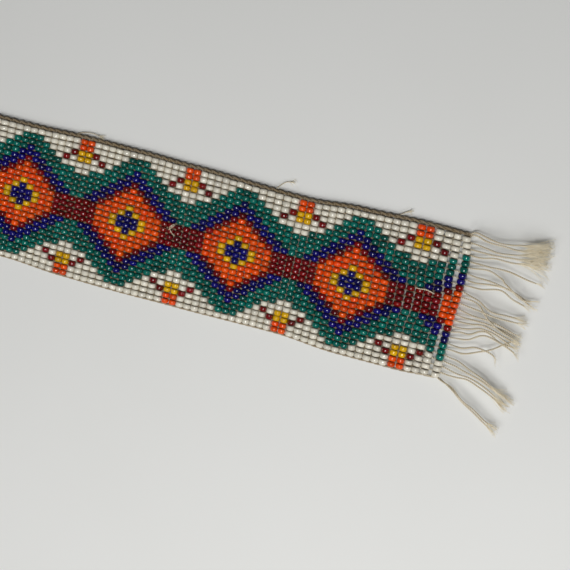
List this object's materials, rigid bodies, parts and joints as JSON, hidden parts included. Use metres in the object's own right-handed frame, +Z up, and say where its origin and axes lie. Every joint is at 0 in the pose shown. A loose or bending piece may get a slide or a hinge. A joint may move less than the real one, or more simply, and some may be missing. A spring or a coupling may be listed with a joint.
{
  "type": "loom-woven beaded band",
  "caption": "Flat loom-woven band of glass seed beads with a row of stepped diamonds, two thread selvedges and raw cotton warp fringes at both ends; it curls round a wrist.",
  "frame": {"origin": "middle of the band's underside, on the surface that it lies on; the centre of the bounding box's bottom face", "axes": "+X along the band towards the right-hand fringe, +Y across it towards the selvedge that is uppermost in the usual view, +Z up out of the beadwork"},
  "size_m": [0.218, 0.0578, 0.002],
  "materials": {
    "glass_white": "opaque glossy ivory white glass",
    "glass_teal": "opaque glossy teal green glass",
    "glass_navy": "opaque glossy navy blue glass",
    "glass_dark_red": "opaque glossy dark red glass",
    "glass_orange": "opaque glossy orange-red glass",
    "glass_yellow": "opaque glossy yellow glass",
    "cotton_thread": "undyed cream cotton thread, matt"
  },
  "bodies": {
    "left_end": {"left_end_white_beads": "glass_white", "left_end_teal_beads": "glass_teal", "left_end_navy_beads": "glass_navy", "left_end_dark_red_beads": "glass_dark_red", "left_end_orange_beads": "glass_orange", "left_end_yellow_beads": "glass_yellow", "left_end_warps": "cotton_thread", "left_end_weft": "cotton_thread"},
    "diamond_1": {"diamond_1_white_beads": "glass_white", "diamond_1_teal_beads": "glass_teal", "diamond_1_navy_beads": "glass_navy", "diamond_1_dark_red_beads": "glass_dark_red", "diamond_1_orange_beads": "glass_orange", "diamond_1_yellow_beads": "glass_yellow", "diamond_1_warps": "cotton_thread", "diamond_1_weft": "cotton_thread"},
    "diamond_2": {"diamond_2_white_beads": "glass_white", "diamond_2_teal_beads": "glass_teal", "diamond_2_navy_beads": "glass_navy", "diamond_2_dark_red_beads": "glass_dark_red", "diamond_2_orange_beads": "glass_orange", "diamond_2_yellow_beads": "glass_yellow", "diamond_2_warps": "cotton_thread", "diamond_2_weft": "cotton_thread"},
    "diamond_3": {"diamond_3_white_beads": "glass_white", "diamond_3_teal_beads": "glass_teal", "diamond_3_navy_beads": "glass_navy", "diamond_3_dark_red_beads": "glass_dark_red", "diamond_3_orange_beads": "glass_orange", "diamond_3_yellow_beads": "glass_yellow", "diamond_3_warps": "cotton_thread", "diamond_3_weft": "cotton_thread"},
    "diamond_4": {"diamond_4_white_beads": "glass_white", "diamond_4_teal_beads": "glass_teal", "diamond_4_navy_beads": "glass_navy", "diamond_4_dark_red_beads": "glass_dark_red", "diamond_4_orange_beads": "glass_orange", "diamond_4_yellow_beads": "glass_yellow", "diamond_4_warps": "cotton_thread", "diamond_4_weft": "cotton_thread"},
    "diamond_5": {"diamond_5_white_beads": "glass_white", "diamond_5_teal_beads": "glass_teal", "diamond_5_navy_beads": "glass_navy", "diamond_5_dark_red_beads": "glass_dark_red", "diamond_5_orange_beads": "glass_orange", "diamond_5_yellow_beads": "glass_yellow", "diamond_5_warps": "cotton_thread", "diamond_5_weft": "cotton_thread"},
    "right_end": {"right_end_white_beads": "glass_white", "right_end_teal_beads": "glass_teal", "right_end_navy_beads": "glass_navy", "right_end_dark_red_beads": "glass_dark_red", "right_end_orange_beads": "glass_orange", "right_end_yellow_beads": "glass_yellow", "right_end_warps": "cotton_thread", "right_end_weft": "cotton_thread"},
    "left_fringe": {"left_fringe_warps": "cotton_thread"},
    "right_fringe": {"right_fringe_warps": "cotton_thread"}
  },
  "joints": [
    {"name": "fold_diamond_4", "type": "hinge", "parent": "diamond_3", "child": "diamond_4", "pos_m": [0.01435, 0, 0.001], "axis": [0, -1, 0], "range_deg": [-45, 45]},
    {"name": "fold_diamond_5", "type": "hinge", "parent": "diamond_4", "child": "diamond_5", "pos_m": [0.0451, 0, 0.001], "axis": [0, -1, 0], "range_deg": [-45, 45]},
    {"name": "fold_right_end", "type": "hinge", "parent": "diamond_5", "child": "right_end", "pos_m": [0.07636, 0, 0.001], "axis": [0, -1, 0], "range_deg": [-45, 45]},
    {"name": "swing_right_fringe", "type": "hinge", "parent": "right_end", "child": "right_fringe", "pos_m": [0.08805, 0, 0.001], "axis": [0, -1, 0], "range_deg": [-40, 40]},
    {"name": "fold_diamond_2", "type": "hinge", "parent": "diamond_3", "child": "diamond_2", "pos_m": [-0.01435, 0, 0.001], "axis": [0, 1, 0], "range_deg": [-45, 45]},
    {"name": "fold_diamond_1", "type": "hinge", "parent": "diamond_2", "child": "diamond_1", "pos_m": [-0.0451, 0, 0.001], "axis": [0, 1, 0], "range_deg": [-45, 45]},
    {"name": "fold_left_end", "type": "hinge", "parent": "diamond_1", "child": "left_end", "pos_m": [-0.07636, 0, 0.001], "axis": [0, 1, 0], "range_deg": [-45, 45]},
    {"name": "swing_left_fringe", "type": "hinge", "parent": "left_end", "child": "left_fringe", "pos_m": [-0.08805, 0, 0.001], "axis": [0, 1, 0], "range_deg": [-40, 40]}
  ]
}
